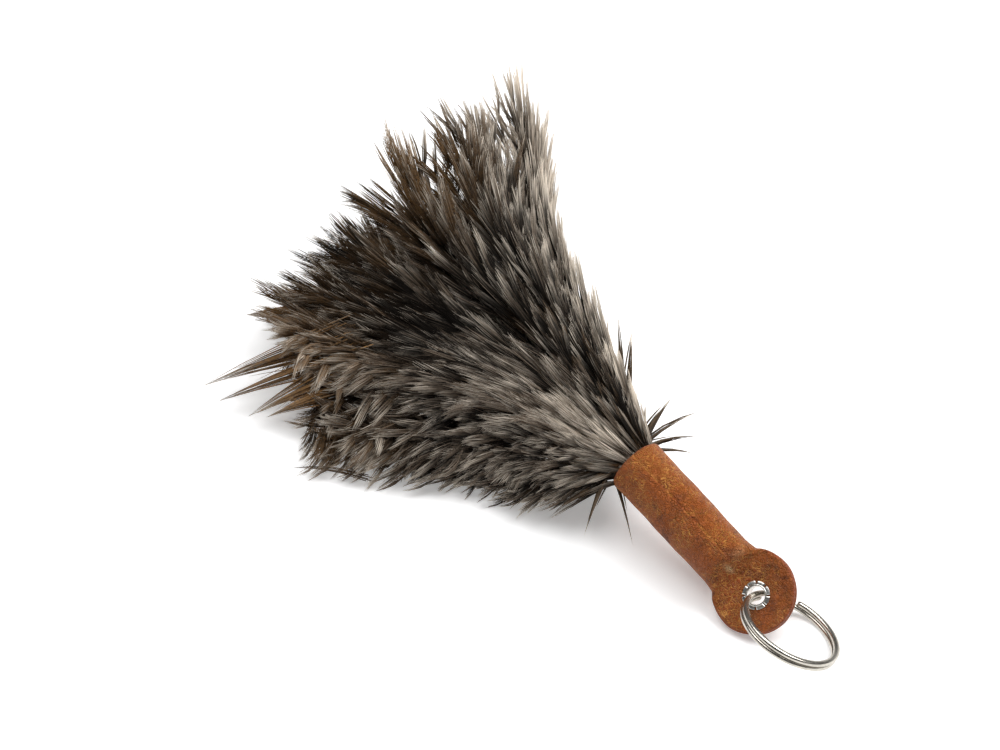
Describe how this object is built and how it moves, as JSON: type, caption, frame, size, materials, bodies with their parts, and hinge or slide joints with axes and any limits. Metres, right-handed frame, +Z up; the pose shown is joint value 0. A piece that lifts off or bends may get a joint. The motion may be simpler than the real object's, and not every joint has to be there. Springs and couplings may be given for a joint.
{
  "type": "feather duster",
  "caption": "Pocket feather duster: ostrich plumes bound in a rolled leather sleeve whose end is pressed flat into a tab with an eyelet and a split key ring.",
  "frame": {"origin": "on the table, under the middle of the whole object's box, as it lies at rest", "axes": "+X runs from the plume tips to the key ring and is the longest side, +Z is up from the table, +Y is across the fan of plumes"},
  "size_m": [0.185, 0.1224, 0.0383],
  "materials": {
    "leather": "waxed, cracked tan leather with a soft sheen",
    "plume": "soft grey-brown ostrich plume with taupe and chestnut tips",
    "core_wood": "plain turned dowel",
    "binding_steel": "soft steel binding wire",
    "glue": "set hot-melt glue",
    "eyelet_metal": "polished nickel, lightly worn",
    "ring_metal": "polished nickel"
  },
  "bodies": {
    "duster": {"leather_sleeve": "leather", "eyelet": "eyelet_metal", "core_dowel": "core_wood", "binding_wire_front": "binding_steel", "binding_wire_rear": "binding_steel", "glue_plug": "glue", "plume_inner_01": "plume", "plume_inner_02": "plume", "plume_inner_03": "plume", "plume_inner_04": "plume", "plume_inner_05": "plume", "plume_inner_06": "plume", "plume_inner_07": "plume", "plume_inner_08": "plume", "plume_inner_09": "plume", "plume_inner_10": "plume", "plume_inner_11": "plume", "plume_inner_12": "plume", "plume_inner_13": "plume", "plume_inner_14": "plume", "plume_outer_01": "plume", "plume_outer_02": "plume", "plume_outer_03": "plume", "plume_outer_04": "plume", "plume_outer_05": "plume", "plume_outer_06": "plume", "plume_outer_07": "plume", "plume_outer_08": "plume", "plume_outer_09": "plume", "plume_outer_10": "plume", "plume_outer_11": "plume", "plume_outer_12": "plume", "plume_outer_13": "plume", "plume_outer_14": "plume", "plume_outer_15": "plume", "plume_outer_16": "plume", "plume_outer_17": "plume", "plume_outer_18": "plume", "plume_outer_19": "plume", "plume_outer_20": "plume"},
    "key_ring": {"split_ring": "ring_metal"}
  },
  "joints": [
    {"name": "ring_swing", "type": "hinge", "parent": "duster", "child": "key_ring", "pos_m": [0.06828, 0, 0.00741], "axis": [0.1593, -0.6428, 0.7493], "range_deg": [-158, 144]}
  ]
}
